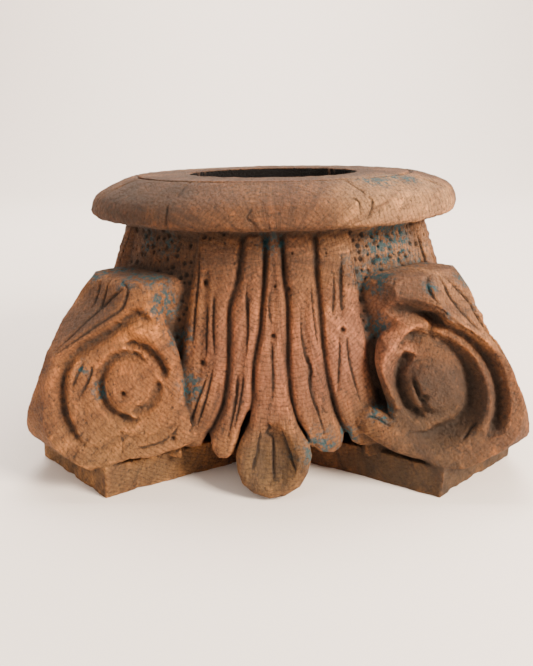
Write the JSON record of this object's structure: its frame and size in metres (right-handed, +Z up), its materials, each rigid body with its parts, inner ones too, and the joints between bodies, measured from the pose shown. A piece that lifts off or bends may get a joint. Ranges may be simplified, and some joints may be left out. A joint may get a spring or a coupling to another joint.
{
  "type": "carved wooden column base",
  "caption": "Carved wooden capital inverted as a column base: round socketed disk, fluted bell, scroll corners and drop leaves over a hollow-sided plate.",
  "frame": {"origin": "middle of the underside, on the surface that the block stands on", "axes": "+Z up along the axis of the round disk, -Y towards the side seen in the picture, +X to the picture's right"},
  "size_m": [0.4318, 0.4318, 0.24],
  "materials": {
    "aged_hardwood": "dry aged hardwood, unvarnished, reddish brown with remains of blue-green paint"
  },
  "bodies": {
    "root": {"carved_block": "aged_hardwood"}
  },
  "joints": []
}
